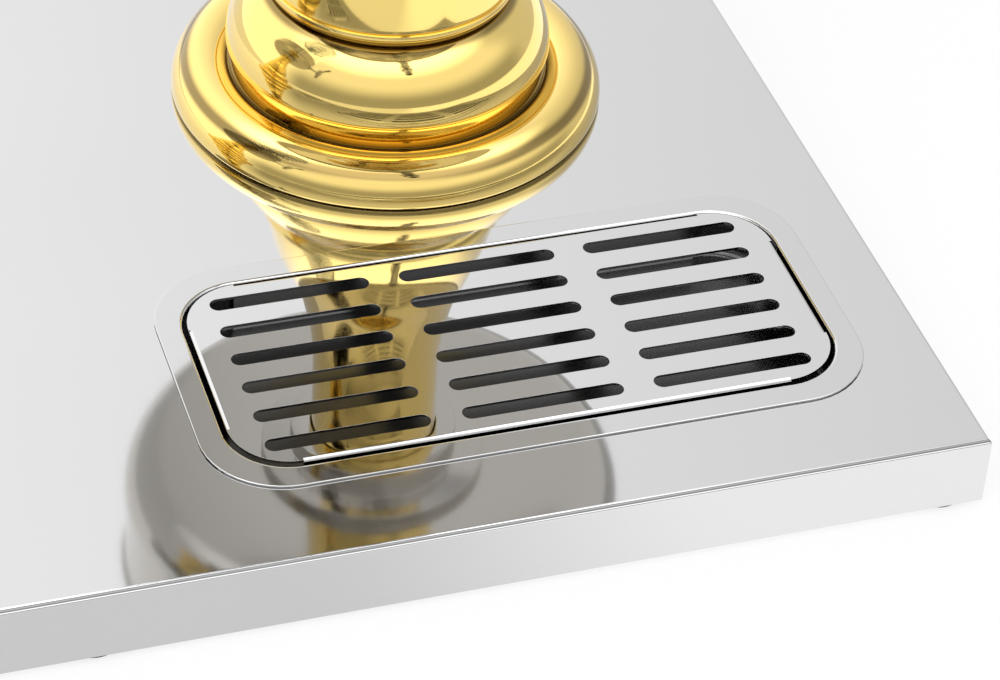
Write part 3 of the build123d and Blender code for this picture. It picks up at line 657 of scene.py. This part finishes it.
def drip_pan(node):
    low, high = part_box(node)
    size = (high - low) / MM
    outer_corner, well_corner, bias = 27.0, 21.5, 1.0

    def ring(place):
        # the well lies a little nearer the flange's edge at its ends than at its front and back
        share = min(place.real / PAN_FLANGE, 1)
        corner = outer_corner + (well_corner - outer_corner) * share - max(place.real - PAN_FLANGE, 0)
        inset = 2 * place.real
        return rounded_loop(size.x - inset, size.y - inset - bias * share, corner, place.imag)

    top, under = pan_path()
    mesh = loft(node, [ring(place) for place in reversed(top)] + [ring(place) for place in under])
    middle = (low + high) / 2
    place = Matrix.Translation((middle.x, middle.y, high.z - PAN_SHEET * MM))
    mesh.transform(place @ Matrix.Scale(MM, 4))
    outwards(mesh)
    smooth(mesh)
    seat(show(node + "_piece", mesh), node, PAN_STEEL)


# Pedestals, from the base upwards

def reach(node):
    """A round piece's greatest radius and its height, in millimetres."""
    low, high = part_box(node)
    return (high.x - low.x) / 2 / MM, (high.z - low.z) / MM


def pedestal_ring(node):
    radius, height = reach(node)
    toe, seat_radius, bore = 2.0, 57.0, 46.0
    bead = height - toe
    seat_height = toe + math.sqrt(bead**2 - (radius - bead - seat_radius)**2)
    heel, side = complex(radius - toe, 0), complex(radius, toe)
    outline = [heel] + bow(heel, 1, side, 8) + bow(side, 1j, complex(seat_radius, seat_height), 48)
    turned(node, outline + [complex(bore, seat_height), complex(bore, 0)], GOLD, ease=0.25)


def pedestal_dome(node):
    radius, height = reach(node)
    skirt_radius, skirt, top_radius, bore, web = 56.4, 8.3, 43.6, 43.0, 4.0
    foot, lip = complex(skirt_radius, skirt), complex(radius, skirt + radius - skirt_radius)
    outline = [complex(skirt_radius, 0), foot] + bow(foot, 1, lip, 8)
    outline += bow(lip, 1j, complex(top_radius, height), 40)
    inside = [complex(ROD_HOLE, height), complex(ROD_HOLE, height - web)]
    inside += [complex(top_radius - 2 * web, height - web), complex(bore, 0)]
    turned(node, outline + inside, GOLD, ease=0.2)


def pedestal_collar(node):
    radius, height = reach(node)
    foot, top, bulge, bore = complex(42.0, 0), complex(radius, height), 0.8, 35.6
    half = math.atan2(bulge, abs(top - foot) / 2) * 2
    way = (top - foot) * complex(math.cos(half), -math.sin(half))
    outline = [foot] + bow(foot, way, top, 16)
    turned(node, outline + [complex(bore, height), complex(bore, 0)], GOLD, ease=0.3)


def pedestal_column(node):
    foot_radius, height = reach(node)
    neck, waist, wall = complex(24.0, 83.0), complex(33.0, 37.0), 4.0
    down = bow(neck, -1j, waist, 24)
    down += bow(waist, onward(neck, -1j, waist), complex(foot_radius, 0), 24)
    web = height - wall
    bore = [complex(foot_radius - 2 * wall, 0), neck - wall, complex(neck.real - wall, web)]
    bore += [complex(ROD_HOLE, web), complex(ROD_HOLE, height)]
    turned(node, [complex(neck.real, height), neck] + down + bore, GOLD, ease=0.3)


def column_hub(node):
    radius, height = reach(node)
    spigot, bore, plate = 32.0, 24.3, 4.0
    step = height - plate
    outline = [complex(spigot, 0), complex(spigot, step), complex(radius, step), complex(radius, height)]
    outline += [complex(ROD_HOLE, height), complex(ROD_HOLE, step), complex(bore, step), complex(bore, 0)]
    turned(node, outline, CUP_STEEL, ease=0.4)


# Cups, lids, ice caps and knobs

def tank_cup(node):
    radius, height = reach(node)
    sheet, bend, rim, rim_height = 1.2, 15.0, 1.6, 3.0
    wall = radius - rim
    heel, floor = complex(wall - bend, 0), complex(wall - sheet, bend)
    outline = [complex(ROD_HOLE, 0), heel] + bow(heel, 1, complex(wall, bend), 14)
    outline += [complex(wall, height - rim_height), complex(radius, height - rim_height)]
    outline += [complex(radius, height), complex(wall - sheet, height), floor]
    outline += bow(floor, -1j, complex(wall - bend, sheet), 14) + [complex(ROD_HOLE, sheet)]
    turned(node, outline, CUP_STEEL, ease=0.5)


def lid(node):
    radius, height = reach(node)
    sheet, hole, seat_radius, shoulder_radius, rest_radius = 1.0, 28.5, 40.0, 72.0, 89.0
    skirt, shoulder = 12.0 + sheet, 32.0
    top = [complex(radius, 0), complex(radius, skirt), complex(rest_radius, skirt)]
    top += [complex(shoulder_radius, shoulder), complex(seat_radius, height), complex(hole, height)]
    under = [complex(hole, height - sheet)] + [p - sheet * 1j for p in top[4:1:-1]]
    under += [complex(radius - sheet, skirt - sheet), complex(radius - sheet, 0)]
    turned(node, top + under, LID_STEEL, ease=1.4)


def ice_cap(node):
    radius, height = reach(node)
    skirt, edge, sheet, wall, top_radius, screw, tube = 2.7, 3.0, 1.2, 1.5, 9.0, 2.8, 25.5
    outline = [complex(radius, 0), complex(radius, skirt + edge), complex(top_radius, height)]
    outline += [complex(screw, height), complex(screw, height - sheet), complex(top_radius, height - sheet)]
    outline += [complex(tube, skirt + edge - sheet), complex(tube, skirt)]
    outline += [complex(radius - wall, skirt), complex(radius - wall, 0)]
    turned(node, outline, LID_STEEL, ease=1.0)


def cap_knob(node):
    radius, height = reach(node)
    foot, foot_height, neck, neck_height = 8.5, 1.2, 5.0, 4.0
    waist_height, flare, belly, bore, depth = 8.5, 1 + 0.6j, 17.5, 2.55, 14.0
    waist, side = complex(neck, waist_height), complex(radius, belly)
    outline = [complex(foot, 0), complex(foot, foot_height), complex(neck, neck_height), waist]
    outline += bow(waist, flare, side, 12) + bow(side, 1j, complex(0, height), 20)
    outline += [complex(0, depth), complex(bore, depth), complex(bore, 0)]
    turned(node, outline, GOLD, ease=0.5)


# Stations

SHAPES = {
    "drip_grille_": drip_grille,
    "drip_pan_": drip_pan,
    "pedestal_ring_": pedestal_ring,
    "pedestal_dome_": pedestal_dome,
    "pedestal_collar_": pedestal_collar,
    "pedestal_column_": pedestal_column,
    "column_hub_": column_hub,
    "tank_cup_": tank_cup,
    "lid_": lid,
    "ice_cap_": ice_cap,
    "cap_knob_": cap_knob,
}
for side in ("left", "right"):
    for name, shape in SHAPES.items():
        shape(name + side)


# The other pieces keep the form of their CAD nodes

MADE = ("base_shell", "rubber_pads", *SHAPES)
CLEAR = ("tank_left", "tank_right", "ice_tube")
for node, source in frame["nodes"].items():
    if node.startswith(CLEAR):
        source.data.materials.clear()
        source.data.materials.append(CLEAR_PLASTIC)
    elif node.startswith("tap_spring"):
        # the spring stands on the stem's collar under the bonnet; it gets a softened copy with a mesh of
        # its own, and the share of its length left when closed up is worked out but not applied
        wound = softened(node, FINISHES[SLOT_OF[node]], edge=0.1)
        slide = SLIDES[BODY_OF[node]]
        low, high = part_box(node)
        left = 1 - slide["range_m"][1] / (high.z - low.z)
        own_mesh(wound)
    elif not node.startswith(MADE):
        softened(node, FINISHES[SLOT_OF[node]], edge=0.2)


# Room: a white floor and walls, with levels of their own for what the metal sees, and one soft lamp

def floor():
    """White paper that glows a little; the metal sees it darker on the left than on the right."""
    half, glow, camera_glow, left_glow, right_glow = 4.0, 0.45, 0.78, 0.69, 1.06
    mesh = bpy.data.meshes.new("floor")
    corners = [(-half, -half, 0), (half, -half, 0), (half, half, 0), (-half, half, 0)]
    mesh.from_pydata(corners, [], [(0, 1, 2, 3)])
    paper = Finish("white_paper_floor")
    direct, glossy = paper.ray("Camera") + paper.ray("Transmission"), paper.ray("Glossy")
    seen = paper.axis("X").fade(0.06, 0.22) * (right_glow - left_glow) + left_glow
    level = glow + direct * (camera_glow - glow) + glossy * (seen - glow)
    light = paper.add("ShaderNodeEmission", {}, {"Color": (1, 1, 1, 1), "Strength": level})
    shade = paper.tint(paper.noise(scale=300, detail=3), grey(0.23), grey(0.25))
    matt = paper.add("ShaderNodeBsdfDiffuse", {}, {"Color": shade})
    both = paper.add("ShaderNodeAddShader", {}, {0: light, 1: matt})
    paper.add("ShaderNodeOutputMaterial", {}, {"Surface": both})
    mesh.materials.append(paper.material)
    show("floor", mesh)


def room():
    """White walls; the metal sees the back one fade to the right, a darker front and a bright ceiling."""
    level, white, ceiling_level = 0.85, 1.0, 1.5
    back_level, back_middle, back_fall, back_darkest, back_brightest = 1.20, 0.166, 0.98, 0.70, 1.46
    front_low, front_rise = 0.42, 0.66
    world = bpy.data.worlds.new("white_room")
    world.use_nodes = True
    bpy.context.scene.world = world
    air = Nodes(world.node_tree)
    way = air.add("ShaderNodeTexCoord", output="Generated")
    x, y, z = (air.add("ShaderNodeSeparateXYZ", {}, {"Vector": way}, axis) for axis in "XYZ")
    direct, glossy = air.ray("Camera") + air.ray("Transmission"), air.ray("Glossy")
    back = (back_level - (x - back_middle) * back_fall).within(back_darkest, back_brightest)
    front = z.fade(0.15, 0.55) * front_rise + front_low
    facing = y.fade(-0.25, 0.15)
    ceiling = z.fade(0.66, 0.92) * (1 - facing) + z.fade(0.70, 0.90) * facing
    seen = (back - front) * facing + front + ceiling * ceiling_level
    strength = level + glossy * (seen - level) + direct * (white - level)
    sky = air.add("ShaderNodeBackground", {}, {"Color": (1, 1, 1, 1), "Strength": strength})
    air.add("ShaderNodeOutputWorld", {}, {"Surface": sky})


def lamp(name, place, aim, size, power):
    """A square soft lamp that the metal doesn't show."""
    light = bpy.data.lights.new(name, "AREA")
    light.energy = power
    light.size = size
    made = show(name, light)
    made.location = place
    made.rotation_euler = (Vector(aim) - Vector(place)).to_track_quat("-Z", "Y").to_euler()
    made.visible_glossy = False


def camera():
    """The photograph's camera, as solved from the grille's slots and the base's edges."""
    azimuth, elevation, roll = (math.radians(angle) for angle in (19.414, 39.134, 3.530))
    place = Vector((-151.84, -938.96, 760.18)) * MM
    width, height, focal_length, centre_x, centre_y = 1000, 680, 3531.3, 479.88, 336.88
    flat = math.cos(elevation)
    ahead = Vector((math.sin(azimuth) * flat, math.cos(azimuth) * flat, -math.sin(elevation)))
    level = ahead.cross(Vector((0, 0, 1))).normalized()
    upright = level.cross(ahead)
    right = level * math.cos(roll) + upright * math.sin(roll)
    up = upright * math.cos(roll) - level * math.sin(roll)
    lens = bpy.data.cameras.new("camera")
    lens.sensor_width = 36
    lens.lens = focal_length * lens.sensor_width / width
    lens.shift_x = (width / 2 - centre_x) / width
    lens.shift_y = (centre_y - height / 2) / width
    made = show("camera", lens)
    turn = Matrix((right, up, -ahead)).transposed().to_4x4()
    made.matrix_world = Matrix.Translation(place) @ turn
    bpy.context.scene.camera = made


floor()
room()
lamp("soft_lamp", place=(-0.9, -1.1, 1.7), aim=(0, 0, 0.1), size=1.4, power=12)
camera()
bpy.context.scene.view_settings.view_transform = "Standard"
